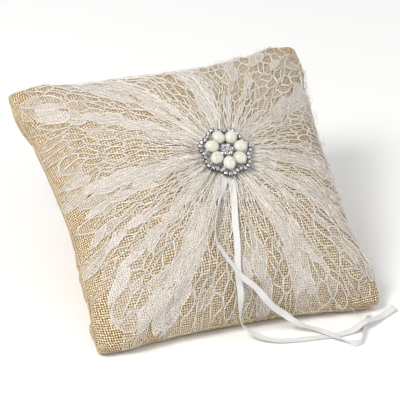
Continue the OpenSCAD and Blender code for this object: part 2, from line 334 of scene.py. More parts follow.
def puckers(s, t, seed):
    # gathers square to the seams, fading towards the middle, and slack folds out of the corners
    h = cushion["cloth"]
    seams = 0
    for a, b, k in ((s, t, 0), (t, s, 1)):
        for end in (-1, 1):
            away = (1 - end * a) * h
            wave = waves(b * h, away * 0.25, seed + 7 * k + end, 7, 0.010, 0.034)
            seams = seams + wave * np.exp(-away / 0.016) * (1 - np.exp(-away / 0.003))
    fold = np.cos((np.abs(s) - np.abs(t)) * 26 + 0.6 * waves(s * h, t * h, seed + 40, 5, 0.05, 0.1))
    corner = smoothStep(np.abs(s * t), 0.35, 0.72) * (1 - smoothStep(np.abs(s * t), 0.86, 1.0))
    slack = waves(s * h, t * h, seed + 60, 8, 0.035, 0.09)
    return cushion["seamFold"] * seams + cushion["cornerFold"] * fold * corner + cushion["slackFold"] * slack


def stand(x, y, z):
    # from the cushion's own face, x right, y up the face, z out of it, to the part's frame
    a = math.radians(cushion["lean"])
    return np.stack([x, y * math.cos(a) - z * math.sin(a),
                     y * math.sin(a) + z * math.cos(a) + cushion["seat"]], -1)


def front(s, t):
    # the outline raised by the crown
    x, y = plan(s, t)
    return stand(x, y, cushion["seamHalf"] + (cushion["crownFront"] - cushion["seamHalf"]) * crown(s, t))


def back(s, t):
    # the free crown, before the table presses it flat
    x, y = plan(s, t)
    return stand(x, y, -cushion["seamHalf"] - (cushion["crownBack"] - cushion["seamHalf"]) * crown(s, t))


def normals(shape, s, t, step=0.004):
    # the cross product of the two slopes, read a little way in from the seams
    s, t = (np.clip(v, -cushion["inset"], cushion["inset"]) for v in (s, t))
    across = shape(s + step, t) - shape(s - step, t)
    along = shape(s, t + step) - shape(s, t - step)
    return unit(np.cross(across, along))


def seamSpaced(count):
    # knots from -1 to 1, a little closer together towards the seams
    x = np.linspace(-1, 1, count)
    return 0.55 * x + 0.45 * np.sin(x * math.pi / 2)


settled = {"front": np.zeros((4, 4)), "back": np.zeros((4, 4))}  # how far settling moves each panel


def sampled(table, s, t):
    # the table's value at a place, straight between its knots
    count = len(table)
    i, j = (np.clip(np.interp(v, seamSpaced(count), np.arange(count)), 0, count - 1.001) for v in (s, t))
    k, m = i.astype(int), j.astype(int)
    i, j = i - k, j - m
    return ((table[k, m] * (1 - i) + table[k + 1, m] * i) * (1 - j)
            + (table[k, m + 1] * (1 - i) + table[k + 1, m + 1] * i) * j)


def onFront(s, t, lift=0.0):
    # a point of the finished front at this lift over the burlap, and the way the face looks there
    s, t = np.clip(s, -1, 1), np.clip(t, -1, 1)
    n = normals(front, s, t)
    bulge = puckers(s, t, 3) + sampled(settled["front"], s, t)
    return front(s, t) + n * (bulge + lift)[..., None], n


def onBack(s, t):
    # the same for the back, pressed flat by a soft maximum with the table
    n = -normals(back, s, t)
    bulge = puckers(s, t, 11) * 1.3 + sampled(settled["back"], s, t)
    free = back(s, t) + n * bulge[..., None]
    low, soft = cushion["clear"], cushion["press"]
    free[..., 2] = low + np.logaddexp(0, (free[..., 2] - low) / soft) * soft
    return free, n


def twoPanels(n):
    # both panels' knots, which of them lie on the seam, and faces that share the seam's points,
    # so that front and back make one closed surface
    s, t = np.meshgrid(seamSpaced(n), seamSpaced(n), indexing="ij")
    border = (np.abs(s) > 0.9999) | (np.abs(t) > 0.9999)
    number = np.arange(n * n)
    again = np.where(border.ravel(), number, n * n + number)
    faces = gridFaces(n, n)[:, ::-1]
    return s, t, border, np.vstack([faces, again[faces][:, ::-1]])


# ribbons

ribbon = {
    "width": 0.0044,
    "thick": 0.00035,
    "across": 9,          # points over the width
    "finer": 8,           # steps between two points of a route
    "ripple": 0.00012,
    "cup": 0.00016,       # how much higher the edges lie than the middle
    "rib": 0.0007,        # distance between the weave's cross ribs
}
# the stretch on the face: shares of the half sides across and up it, height over the burlap in
# millimetres, and how far the ribbon is turned about its own line in degrees
longOnFace = [
    [0.03, -0.08, 2.1, 0],
    [0.01, -0.18, 2.3, 0],
    [-0.01, -0.28, 2.4, 0],
    [-0.03, -0.38, 2.4, 0],
    [-0.05, -0.48, 2.4, 0],
    [-0.06, -0.58, 2.4, 0],
    [-0.07, -0.67, 2.4, 0],
    [-0.08, -0.75, 2.4, 0],
    [-0.08, -0.82, 2.6, 0]]
shortOnFace = [
    [-0.02, -0.08, 2.1, 0],
    [-0.04, -0.17, 2.5, 15],
    [-0.08, -0.25, 3.5, 50],
    [-0.13, -0.33, 4.0, 70],
    [-0.17, -0.41, 4.0, 75],
    [-0.20, -0.49, 4.0, 70],
    [-0.21, -0.57, 4.0, 60],
    [-0.18, -0.65, 4.0, 50],
    [-0.13, -0.73, 4.4, 45],
    [-0.08, -0.80, 5.0, 40],
    [0.02, -0.87, 4.5, 40]]
# the stretch that hangs and lies free: a point in millimetres, then the way the ribbon's face looks
longFree = [
    [[-8, -85, 31], [0.1, -1, 0.2]],
    [[-8, -86, 24], [0.5, -1, 0.1]],
    [[-8, -87, 17], [1, -0.6, 0.1]],
    [[-7, -88, 11], [1, -0.3, 0.2]],
    [[-3, -90, 7], [0.8, -0.3, 0.6]],
    [[2, -93, 4], [0.3, -0.2, 0.9]],
    [[8, -96, 2], [0.1, -0.1, 1]],
    [[16, -99, 1], [0, 0, 1]],
    [[28, -101, 0.7], [0, 0, 1]],
    [[40, -102, 0.7], [0, 0, 1]],
    [[53, -103, 0.7], [0, 0, 1]],
    [[65, -102, 1.5], [-0.1, 0, 1]],
    [[74, -100, 5], [0, 0, 1]],
    [[83, -96, 3], [0.1, 0, 1]],
    [[92, -91, 1], [0, 0, 1]],
    [[102, -86, 2.5], [-0.1, -0.4, 0.9]]]
shortFree = [
    [[8, -87, 27], [-0.3, -1, 0.2]],
    [[15, -87, 19], [-0.3, -1, 0.2]],
    [[22, -87, 13], [-0.3, -0.9, 0.5]],
    [[29, -89, 7.5], [-0.1, -0.4, 0.9]],
    [[36, -92, 4], [0, 0, 1]],
    [[43, -95, 2], [0, 0, 1]],
    [[48, -100, 1.5], [0, 0, 1]],
    [[52, -107, 1.5], [0.2, 0.1, 1]],
    [[56, -114, 2], [0.6, 0.4, 0.7]],
    [[59, -117.5, 2.4], [0.6, 1, 0.1]],
    [[63, -117, 2.4], [-0.4, 1, 0]],
    [[67, -112, 2.4], [-0.9, 0.8, 0]],
    [[71, -105, 2.2], [-0.9, 0.6, 0.3]],
    [[76, -97, 2.2], [-0.8, 0.5, 0.5]],
    [[82, -87, 2.4], [-1, 0.5, 0]]]


def wholeRoute(onFace, free):
    # points in metres and face directions; the ones on the face stand off it along its own direction
    s, t, high, turn = np.array(onFace, float).T
    looks = normals(front, s, t)
    across = unit(front(s + 0.01, t) - front(s, t))
    points = front(s, t) + looks * (high * 0.001)[:, None]
    turn = np.radians(turn)[:, None]
    facing = looks * np.cos(turn) + across * np.sin(turn)
    freePoints, freeFacing = (np.array([row[k] for row in free], float) for k in (0, 1))
    return np.vstack([points, freePoints * 0.001]), np.vstack([facing, unit(freeFacing)])


def satinPaint():
    # fine ribs across, streaks along and a slightly darker selvedge
    paint = Paint("satinRibbon")
    across = paint.attribute("across")
    along = paint.attribute("along")
    ribs = (along * (tau / ribbon["rib"])).cos()
    edge = (abs(across) - 0.8).above(0.0) * 5.0
    streak = paint.noise(paint.stretched(along * 60.0, across * 3.0), 4.0, 3.0)
    tone = paint.ramp(streak - edge * 0.12, (0.25, (0.64, 0.63, 0.61)), (0.7, (0.79, 0.78, 0.765)))
    height = ribs * 0.4 - edge + streak
    return paint.surface(Base_Color=tone, Roughness=0.34 + streak * 0.12, Sheen_Weight=0.25,
                         Sheen_Roughness=0.4, Specular_IOR_Level=0.6,
                         Normal=paint.bump(height, 0.25, 0.00006))


def throughPoints(points, finer):
    # a smooth line through every point: cubic segments with slopes from the points on either side
    points = np.asarray(points, float)
    longer = np.vstack([2 * points[0] - points[1], points, 2 * points[-1] - points[-2]])
    f = (np.arange(finer) / finer)[None, :, None]
    p0, p1, p2, p3 = (longer[k:len(longer) - 3 + k][:, None] for k in range(4))
    line = 0.5 * (2 * p1 + (p2 - p0) * f + (2 * p0 - 5 * p1 + 4 * p2 - p3) * f ** 2
                  + (3 * p1 - p0 - 3 * p2 + p3) * f ** 3)
    return np.vstack([line.reshape(-1, points.shape[1]), points[-1:]])


def makeRibbon(name, route, material, seed):
    # a flat strip: a slightly cupped section carried along the route, turned to its face direction
    r = ribbon
    centre, facing = (throughPoints(rows, r["finer"]) for rows in route)
    facing = unit(facing)
    along = unit(np.gradient(centre, axis=0))
    side = unit(np.cross(along, facing))
    up = np.cross(side, along)
    length = np.concatenate([[0], np.cumsum(np.linalg.norm(np.diff(centre, axis=0), axis=1))])
    across = np.linspace(-1, 1, r["across"])
    ripple = r["ripple"] * waves(length, length * 0, seed, 4, 0.012, 0.03)
    cup = ripple[:, None] * across + r["cup"] * across ** 2
    top = (centre[:, None] + side[:, None] * across[:, None] * r["width"] / 2
           + up[:, None] * (cup + r["thick"] / 2)[..., None])
    under = top - up[:, None] * r["thick"]
    section = np.concatenate([top, under[:, ::-1]], axis=1)
    n, m = section.shape[:2]
    k = r["across"]
    i = np.arange(k - 1)
    end = np.stack([i, i + 1, 2 * k - 2 - i, 2 * k - 1 - i], -1)
    faces = np.vstack([gridFaces(n, m, wrapColumns=True), end[:, ::-1], end + (n - 1) * m])
    acrossAll = np.tile(np.concatenate([across, across[::-1]]), n)
    made = makeMesh(name, section.reshape(-1, 3), faces, material,
                    values={"across": acrossAll, "along": np.repeat(length, m)})
    return made, centre, length[-1]


satin = satinPaint()
for name, node, route, seed in (
        ("ribbonLong", "ribbon_tail_long", wholeRoute(longOnFace, longFree), 21),
        ("ribbonShort", "ribbon_tail_short", wholeRoute(shortOnFace, shortFree), 22)):
    piece, centre, length = makeRibbon(name, route, satin, seed)
    finished(piece, "satin", node)
    print(name, "length", round(float(length), 4))


# burlap

burlap = {
    "pitch": 0.0017,     # from thread to thread
    "grid": 150,         # points along a side of each panel
    "seamLow": 0.0006,   # the seam's least height over the table
    "fill": 0.8,
}


def burlapPaint():
    # plain weave: cosines over the cloth give the threads, the sign of their product which one is on top
    paint = Paint("burlap")
    cloth = paint.node("ShaderNodeUVMap", {"uv_map": "cloth"})
    u = paint.node("ShaderNodeSeparateXYZ", None, {0: cloth})
    v = Value(paint, u.socket.node.outputs[1])
    # slow drift keeps the threads from running dead straight
    sway = paint.noise(cloth, 9.0, 2.0) - 0.5
    lines = math.pi * 2 * cushion["cloth"] / burlap["pitch"]  # half a wave to a thread
    warp = (u + sway * 0.010) * lines
    weft = (v - sway * 0.010) * lines
    a, b = warp.cos(), weft.cos()
    over = (a * b * 3.0).clamped()
    under = (a * b * -3.0).clamped()
    # fibres run along each thread, so each noise is drawn out one way
    fibreU = paint.noise(paint.stretched(u * 900.0, v * 45.0), 1.0, 4.0)
    fibreV = paint.noise(paint.stretched(u * 45.0, v * 900.0), 1.0, 4.0)
    slubU = paint.noise(paint.stretched(u * 260.0, v * 34.0), 1.0, 2.0)
    slubV = paint.noise(paint.stretched(u * 34.0, v * 260.0), 1.0, 2.0)
    warpHigh = (abs(a) ** 0.7) * (0.5 + over * 0.5) * (0.8 + slubU * 0.4)
    weftHigh = (abs(b) ** 0.7) * (0.5 + under * 0.5) * (0.8 + slubV * 0.4)
    height = warpHigh.above(weftHigh)
    fibre = paint.node("ShaderNodeMix", {"data_type": "FLOAT"}, {0: over, 2: fibreV, 3: fibreU})
    patch = paint.noise(cloth, 5.0, 3.0)
    # painted shade: dark where neither thread lies, in the gaps between the threads
    gapShade = ((0.62 - abs(a)) * 3.0).clamped() * ((0.62 - abs(b)) * 3.0).clamped()
    speckle = paint.noise(cloth, 210.0, 1.0) - 0.5
    # the raised threads are painted lighter and the gaps darker, as painted light and shade of the weave's
    # relief; fibre, speckle and patch are the jute's own uneven tone
    shade = height * 0.72 + (fibre - 0.5) * 0.4 + speckle * 1.3 + (patch - 0.5) * 0.2 - gapShade * 0.7 + 0.05
    tone = paint.ramp(shade, (0.10, (0.035, 0.018, 0.006)), (0.42, (0.29, 0.18, 0.075)),
                      (0.64, (0.62, 0.465, 0.26)), (0.86, (0.95, 0.87, 0.70)))
    return paint.surface(Base_Color=tone, Roughness=0.85 - fibre * 0.1, Specular_IOR_Level=0.25,
                         Normal=paint.bump(height + fibre * 0.4, 0.7, 0.0005))


def clothShare(panel, axis):
    # how far along its row each point is by length of cloth, in widths of the cushion
    step = np.linalg.norm(np.diff(panel, axis=axis), axis=-1)
    length = np.insert(np.cumsum(step, axis), 0, 0, axis)
    whole = np.take(length, [-1], axis)
    return length / whole * whole.mean() / (2 * cushion["cloth"])


def makeCover(material):
    # both panels, their borders drawn together half way between them
    s, t, border, faces = twoPanels(burlap["grid"])
    panels = [onFront(s, t)[0], onBack(s, t)[0]]
    seam = (panels[0] + panels[1]) / 2
    seam[..., 2] = np.maximum(seam[..., 2], burlap["seamLow"])
    for panel in panels:
        panel[border] = seam[border]
    uv = np.vstack([np.stack([clothShare(panel, 0), clothShare(panel, 1)], -1).reshape(-1, 2)
                    for panel in panels])
    points = np.vstack([panel.reshape(-1, 3) for panel in panels])
    made = makeMesh("burlapCover", points, faces, material, uv=uv)
    made.data.validate()
    return made


# settling: a coarse copy of the cover is held at its seams, where it rests and under the brooch; its cloth
# grows a little and is blown up from inside, so that it buckles out of the seams as a filled cushion does

settling = {
    "grid": 60,
    "pressure": 4.0,
    "growth": 0.045,
    "frames": 20,
    "quality": 6,
    "out": 0.0007,       # the most that a point may move outwards
    "in": 0.0014,        # and inwards
    "brooch": 0.022,     # radius that the brooch holds down
    "touching": 0.0012,  # points below this height rest on the table
    "finer": 3,
}


def settle():
    n = settling["grid"]
    s, t, border, faces = twoPanels(n)
    panels = [onFront(s, t), onBack(s, t)]
    seam = (panels[0][0] + panels[1][0]) / 2
    for points, _ in panels:
        points[border] = seam[border]
    points = np.vstack([points.reshape(-1, 3) for points, _ in panels])
    copy = makeMesh("settlingCopy", points, faces, burlapLook)
    x, y = plan(s, t)
    under = np.hypot(x - cushion["broochAt"][0], y - cushion["broochAt"][1]) < settling["brooch"]
    low = points[:, 2] < settling["touching"]
    held = np.concatenate([(border | under).ravel(), border.ravel()]) | low
    group = copy.vertex_groups.new(name="held")
    group.add([int(k) for k in np.flatnonzero(held)], 1.0, "REPLACE")
    cloth = copy.modifiers.new("settle", "CLOTH")
    cloth.settings.quality = settling["quality"]
    cloth.settings.vertex_group_mass = "held"
    cloth.settings.shrink_min = -settling["growth"]
    cloth.settings.use_pressure = True
    cloth.settings.uniform_pressure_force = settling["pressure"]
    cloth.settings.effector_weights.gravity = 0
    scene = bpy.context.scene
    for frameNumber in range(1, settling["frames"] + 1):
        scene.frame_set(frameNumber)
    moved = np.empty(len(points) * 3, np.float32)
    copy.evaluated_get(bpy.context.evaluated_depsgraph_get()).data.vertices.foreach_get("co", moved)
    shift = moved.reshape(2, n, n, 3) - points.reshape(2, n, n, 3)
    scene.frame_set(1)
    mesh = copy.data
    bpy.data.objects.remove(copy)
    bpy.data.meshes.remove(mesh)
    for key, (_, looks), part in zip(("front", "back"), panels, shift):
        along = np.clip((part * looks).sum(-1), -settling["in"], settling["out"])
        along[border] = 0
        settled[key] = throughPoints(throughPoints(along, settling["finer"]).T, settling["finer"]).T
        print("settled", key, "moved", np.abs(along).max().round(4), "mean", along.mean().round(5))


burlapLook = burlapPaint()
settle()
cover = finished(makeCover(burlapLook), "burlap",
                 "burlap_front", "burlap_back", "lining_front", "lining_back", "fill_core")
print("cover made", len(cover.data.polygons))


# lace

lace = {
    "cut": (0.22, 0.235),
    "centre": (0.0017, 0.0011),   # where the gathering is, on the flat cloth
    "eye": 0.006,                 # radius at which the gathered rows begin
    "around": 138,                # cells in one row round the gathering
    "row": 0.0102,                # length of a row
    "rows": 15,
    "jitter": 0.34,
    "missing": 0.33,              # share of cells whose neighbours grow into them
    "steps": 14,                  # points round one cell
    "soft": 16,                   # lower rounds the cells more
    "reach": (0.995, 1.03, 1.02, 1.02),  # left, right, bottom, top, as shares of the cloth's half side
    "lift": 0.00025,              # air under the lace
    "pleat": 0.0022,
    "folds": (17, 26, 33, 43),    # pleats round the gathering, as waves that add up
    "streaks": (7, 12, 19, 29, 41),  # rays of closer and opener cells, as waves round the gathering
    "ragged": 0.012,              # how much the cut edge wanders
    "drift": 0.0016,
    "cordRadius": 0.00021,
    "strands": 620,
    "strandParts": 24,            # points along one strand
    "strandRadius": (0.00012, 0.00024),
    "strandStart": (0.008, 0.085),
    "strandLength": (0.010, 0.045),
    "strandSway": 0.0011,
    "strandTurn": 0.12,           # radians that a strand strays round the gathering
    "strandLift": 0.0003,
    # bands where the pattern lies close: angle in degrees, width in degrees, how much
    "bands": ((181, 13, 0.34), (218, 9, 0.46), (245, 11, 0.34), (296, 8, 0.30), (318, 6, 0.34),
              (352, 15, 0.36), (38, 14, 0.28), (82, 10, 0.2), (118, 16, 0.30)),
    # gaps where it opens: angle, width, radius, depth, how much
    "gaps": ((281, 7, 0.042, 0.026, 0.75), (202, 6, 0.050, 0.022, 0.45), (27, 7, 0.024, 0.012, 0.6),
             (262, 4, 0.040, 0.020, 0.5), (232, 5, 0.045, 0.018, 0.4), (335, 5, 0.045, 0.02, 0.35)),
    "seed": 5,
}


fringe = {
    # from one place to another as shares of the face, and how many hairs
    "spread": (((0.35, 1.0), (0.9, 1.0), 46), ((1.0, -0.2), (1.0, 0.85), 60),
               ((-0.1, -0.995), (0.9, -0.995), 12)),
    "length": (0.0015, 0.0052),
    "radius": 0.00012,
    "lift": 0.0006,
    "seed": 77,
}


def lacePolar(x, y):
    # distance and direction from the gathering
    dx, dy = x - lace["centre"][0], y - lace["centre"][1]
    return np.hypot(dx, dy), np.arctan2(dy, dx)


def laceFolds(radius, angle):
    # from 0 in a valley to 1 on a ridge
    rng = np.random.default_rng(lace["seed"] + 1)
    total = 0
    for n in lace["folds"]:
        phase, twist = rng.uniform(0, tau), rng.uniform(-14, 14)
        total = total + np.cos(n * angle + phase + twist * radius)
    return 0.5 + 0.5 * np.tanh(total * 0.75)


def laceLift(x, y):
    # air, pleats that flatten away from the gathering, and a little looseness
    radius, angle = lacePolar(x, y)
    tall = lace["pleat"] * (0.22 + 0.78 * np.exp(-(np.maximum(radius - 0.014, 0) / 0.036) ** 2))
    loose = 0.0003 * (1 + waves(x, y, 31, 6, 0.02, 0.05))
    return lace["lift"] + tall * laceFolds(radius, angle) + np.clip(loose, 0, 0.0012)


def lacePoint(x, y, extra=0.0):
    # where a point of the flat cloth lies on the face, and the way it looks there
    h = cushion["cloth"]
    return onFront(x / h, y / h, laceLift(x, y) + extra)


def turnFrom(at, angle):
    # degrees between a direction given in degrees and an angle in radians, the short way round
    return np.abs((np.degrees(angle) - at + 180) % 360 - 180)


def laceDensity(radius, angle):
    # how close the pattern lies: near the gathering, in the bands and streaks, and less in the gaps
    total = 0.40 + 0.42 * np.exp(-np.maximum(radius - 0.016, 0) / 0.020)
    for at, width, strength in lace["bands"]:
        total = total + strength * np.exp(-(turnFrom(at, angle) / width) ** 2)
    rays = sum(np.cos(n * angle + 2.1 * n + 9 * np.cos(n) * radius) for n in lace["streaks"])
    total = total + 0.40 * np.tanh(0.8 * rays)
    for at, width, where, depth, strength in lace["gaps"]:
        away = (turnFrom(at, angle) / width) ** 2 + ((radius - where) / depth) ** 2
        total = total - strength * np.exp(-away)
    return total


def laceSeeds():
    # staggered rows round the gathering, each seed pushed a little off its place; units are rows
    l = lace
    rng = np.random.default_rng(l["seed"])
    b, a = np.meshgrid(np.arange(l["rows"]), np.arange(l["around"]), indexing="ij")
    off = rng.uniform(-l["jitter"], l["jitter"], (2, *a.shape))
    seeds = np.stack([a + 0.5 * (b % 2) + off[0], b + off[1]], -1).reshape(-1, 2)
    keep = rng.random(len(seeds)) > l["missing"] * smoothStep(seeds[:, 1], 1, 4)
    return seeds[keep]


def cellWalls(seeds, directions):
    # distance from each seed to its cell's wall in each direction: half way to the nearest neighbour
    # that way, once with sharp corners and once rounded
    turn = np.array([lace["around"], 0])
    ghosts = np.vstack([seeds, seeds - turn, seeds + turn])
    apart = ghosts[None] - seeds[:, None]
    near = np.argsort((apart ** 2).sum(-1), axis=1)[:, 1:17]
    apart = np.take_along_axis(apart, near[..., None], 1)
    half = (apart ** 2).sum(-1) / 2
    wall = half[..., None] / np.maximum(apart @ directions.T, 1e-3)
    wall = np.minimum(wall, 2.0)
    return wall.min(1), (wall ** -lace["soft"]).sum(1) ** (-1 / lace["soft"])


def toCloth(rowPlace):
    # from rows and cells round the gathering to the flat cloth, with a slow drift
    l = lace
    radius = l["eye"] + l["row"] * rowPlace[..., 1]
    angle = tau * rowPlace[..., 0] / l["around"]
    x = l["centre"][0] + radius * np.cos(angle)
    y = l["centre"][1] + radius * np.sin(angle)
    drift = l["drift"] * smoothStep(radius, 0.02, 0.06)
    return x + drift * waves(x, y, 51, 6, 0.016, 0.045), y + drift * waves(x, y, 52, 6, 0.016, 0.045)


def roundedSquare(a, b):
    # 1 on a square of half side 1 whose corners are rounded: a sum of seventh powers
    return (np.abs(a) ** 7 + np.abs(b) ** 7) ** (1 / 7)


def insideLace(x, y):
    # above 0 inside a rounded outline whose edge wanders a little
    left, right, bottom, top = lace["reach"]
    h = cushion["cloth"]
    s, t = x / h, y / h
    a = np.where(s < 0, s / left, s / right)
    b = np.where(t < 0, t / bottom, t / top)
    return 1 - roundedSquare(a, b) + lace["ragged"] * waves(x, y, 61, 5, 0.012, 0.03)


def lacePaint():
    # tulle threads everywhere, and a worked haze over them where the pattern is close
    paint = Paint("laceNet")
    cloth = paint.node("ShaderNodeUVMap", {"uv_map": "cloth"})
    tulle = paint.node("ShaderNodeTexVoronoi", {"feature": "DISTANCE_TO_EDGE", "voronoi_dimensions": "2D"},
                       {"Vector": cloth, "Scale": 140.0})
    close = paint.attribute("close")
    threads = ((0.16 - tulle) * 9.0).clamped()
    drawn = paint.node("ShaderNodeCombineXYZ", None,
                       {0: paint.attribute("acrossCell") * 4.5, 1: paint.attribute("alongRow") * 1.5})
    ray = paint.noise(drawn, 1.0, 3.0) - 0.5
    fine = paint.noise(cloth, 330.0, 2.0) - 0.5
    haze = (close * 0.86 - 0.12 + ray * 1.3 + fine * 1.7).clamped()
    alpha = (threads * (0.22 + close * 0.62)).above(haze * (0.62 + threads * 0.36))
    tone = paint.ramp(fine * 1.1 + close * 0.2 + threads * 0.55 + 0.12, (0.12, (0.46, 0.39, 0.31)),
                      (0.45, (0.81, 0.765, 0.725)), (0.85, (0.97, 0.945, 0.93)))
    return paint.surface(Base_Color=tone, Roughness=0.75, Alpha=alpha, Sheen_Weight=0.25,
                         Specular_IOR_Level=0.3, Normal=paint.bump(fine + threads * 0.6, 0.5, 0.0002))


def cordPaint():
    # cotton cord with a fine mottle
    paint = Paint("laceCord")
    coords = paint.place()
    fine = paint.noise(coords, 900.0, 3.0)
    tone = paint.ramp(fine, (0.3, (0.77, 0.71, 0.63)), (0.65, (0.96, 0.925, 0.87)))
    return paint.surface(Base_Color=tone, Roughness=0.7, Sheen_Weight=0.3, Specular_IOR_Level=0.35,
                         Normal=paint.bump(fine, 0.5, 0.00015))


def laceCells(rng):
    # each cell's seed, its walls and how closely its inside is worked
    l = lace
    seeds = laceSeeds()
    x, y = toCloth(seeds)
    at = np.arange(l["steps"]) * tau / l["steps"]
    directions = np.stack([np.cos(at), np.sin(at)], -1)
    hard, soft = cellWalls(seeds, directions)
    keep = insideLace(x, y) > 0
    seeds, hard, soft, x, y = seeds[keep], hard[keep], soft[keep], x[keep], y[keep]
    radius, angle = lacePolar(x, y)
    score = laceDensity(radius, angle) + rng.normal(0, 0.13, len(seeds))
    fade = 0.25 + 0.75 * smoothStep(insideLace(x, y), 0.0, 0.07)
    fill = (0.02 + 0.96 * smoothStep(score, 0.34, 0.86)) * fade
    return seeds, directions, hard, soft, fill, fade


def makeNet(cells):
    # rings from each cell's wall inwards, thin in the middle of an open cell
    seeds, directions, hard, soft, fill, fade = cells
    n, m = len(seeds), lace["steps"]
    reach = np.stack([hard * 1.05, soft * 0.92, soft * 0.78, soft * 0.05], 1)
    places = seeds[:, None, None] + directions[None, None] * reach[..., None]
    x, y = toCloth(places)
    points, _ = lacePoint(x, y)
    rings = reach.shape[1]
    rim = (0.62 + 0.38 * fill) * fade
    ringClose = np.stack([rim, rim, fill, fill * 0.92], 1)
    one = gridFaces(rings, m, wrapColumns=True)
    faces = (one[None] + (np.arange(n) * rings * m)[:, None, None]).reshape(-1, 4)[:, ::-1]
    uv = np.stack([x, y], -1).reshape(-1, 2) / (2 * cushion["half"]) + 0.5
    values = {"close": np.repeat(ringClose[..., None], m, -1).ravel(),
              "acrossCell": places[..., 0].ravel(), "alongRow": places[..., 1].ravel()}
    net = makeMesh("laceNet", points.reshape(-1, 3), faces, lacePaint(), uv=uv, values=values)
    print("lace net", n, "cells,", len(net.data.polygons), "faces")
    return net


def cellLoops(cells, rng):
    # one closed cord inside each cell's wall, thinner round a closely worked cell
    seeds, directions, _, soft, fill, fade = cells
    x, y = toCloth(seeds[:, None] + directions[None] * (soft * 0.955)[..., None])
    thick = lace["cordRadius"] * rng.uniform(0.8, 1.35, len(seeds)) * (1.15 - 0.5 * fill) * (0.4 + 0.6 * fade)
    lines, facing = lacePoint(x, y, (thick * 0.7)[:, None])
    return tubes(lines, facing, np.repeat(thick[:, None], lace["steps"], 1), 3, closed=True)


def workedStrands(rng):
    # threads that run out from the gathering, kept where the pattern is closest of three times as many places
    l = lace
    count = l["strands"]
    tries = count * 3
    angle, start = rng.uniform(-math.pi, math.pi, tries), rng.uniform(*l["strandStart"], tries)
    close = laceDensity(start, angle) + rng.normal(0, 0.25, tries)
    chosen = np.argsort(-close)[:count]
    angle, start = angle[chosen, None], start[chosen, None]
    along = np.linspace(0, 1, l["strandParts"])[None]
    radius = start + along * rng.uniform(*l["strandLength"], (count, 1))
    sway = l["strandSway"] * np.sin(along * rng.uniform(3, 9, (count, 1)) + rng.uniform(0, tau, (count, 1)))
    angle = angle + rng.uniform(-l["strandTurn"], l["strandTurn"], (count, 1)) * along + sway / radius
    x, y = l["centre"][0] + radius * np.cos(angle), l["centre"][1] + radius * np.sin(angle)
    inside = (insideLace(x, y) > 0.01).all(1)
    thin = np.sin(math.pi * np.clip(along, 0.04, 0.96)) ** 0.5 * rng.uniform(*l["strandRadius"], (count, 1))
    lines, facing = lacePoint(x, y, thin + l["strandLift"])
    return tubes(lines[inside], facing[inside], thin[inside], 3)


def makeLace():
    rng = np.random.default_rng(lace["seed"] + 9)
    cells = laceCells(rng)
    net = makeNet(cells)
    points, faces = joined(cellLoops(cells, rng), workedStrands(rng))
    cords = seal(makeMesh("laceCords", points, faces, cordPaint()))
    print("lace cords", len(faces), "faces")
    return net, cords


def makeFringe(material):
    # loose ends at the cut edge: hairs that leave the seam and curl a little
    rng = np.random.default_rng(fringe["seed"])
    spread = fringe["spread"]
    count = sum(n for *_, n in spread)
    s = np.concatenate([rng.uniform(a[0], b[0], n) for a, b, n in spread])
    t = np.concatenate([rng.uniform(a[1], b[1], n) for a, b, n in spread])
    root, looks = onFront(s, t, fringe["lift"])
    away = unit(root - stand(0.0, 0.0, 0.0))
    aside = unit(np.cross(away, looks))
    length = rng.uniform(*fringe["length"], count)[:, None, None]
    k = np.linspace(0, 1, 9)[None, :, None]
    curl = rng.uniform(-0.7, 0.7, (count, 1, 1))
    rise = rng.uniform(-0.1, 0.5, (count, 1, 1))
    line = root[:, None] + length * (away[:, None] * k + aside[:, None] * curl * k ** 2
                                     + looks[:, None] * (rise * k + 0.2 * np.sin(k * 5)))
    points, faces = tubes(line, np.broadcast_to(looks[:, None], line.shape), fringe["radius"], 4)
    return seal(makeMesh("laceFringe", points, faces, material))


laceNet, laceCords = makeLace()
laceFringe = makeFringe(laceCords.data.materials[0])
for piece in (laceNet, laceCords, laceFringe):
    finished(piece, "lace", "lace_overlay")


# brooch: everything is drawn about its own axis, x across, y up the face, z out from its base plate's top

brooch = {
    "top": 0.0546,           # height of the base plate's top over the seam plane
    "petals": 7,
    "turn": 4.0,             # the first petal's angle from the right, in degrees
    "pearlRing": 0.0105,     # from the brooch's middle to the middle of an arc,
    "pearlSeat": 0.0097,     # and to the middle of a pearl
    "pearlLong": 0.0090,
    "pearlWide": 0.0079,
    "pearlHigh": 0.0038,     # height of a pearl's middle
    "pearlFlat": 0.82,
    "arcRing": 0.0062,       # radius of the arc that five stones stand on
    "arcStones": 5,
    "arcStep": 28.0,         # degrees from stone to stone
    "stone": 0.0012,         # radii of a stone, its cup and its prongs
    "cup": 0.00145,
    "claw": 0.00024,
    "cupHigh": 0.0017,
    "rail": 0.0007,
    "rib": 0.00042,
    "ribs": (-0.9, 0, 0.9),  # where the ribs leave the arc, in radians from its middle
    "hub": 0.0045,           # radius at which they end
    "centreStones": 6,       # round the one in the middle
    "centreRing": 0.003,
    "centreLift": 0.0022,
    "middleLift": 0.0004,    # how much higher the middle one stands
    "seed": 12,
}


def onBrooch(points):
    # from the brooch's own axes to the part's frame
    x, y, z = points[..., 0], points[..., 1], points[..., 2]
    return stand(x + cushion["broochAt"][0], y + cushion["broochAt"][1], z + brooch["top"])


def revolve(profile, sides, twist=None):
    # radius and height pairs carried round z; twist turns each ring by that share of a side
    profile = np.asarray(profile, float)
    shift = np.zeros(len(profile)) if twist is None else np.asarray(twist, float)
    angle = (np.arange(sides)[None] + shift[:, None]) * tau / sides
    radius, height = np.maximum(profile[:, :1], 1e-6), profile[:, 1:]
    points = np.stack([radius * np.cos(angle), radius * np.sin(angle), height + 0 * angle], -1)
    return points.reshape(-1, 3), gridFaces(len(profile), sides, wrapColumns=True)[:, ::-1]


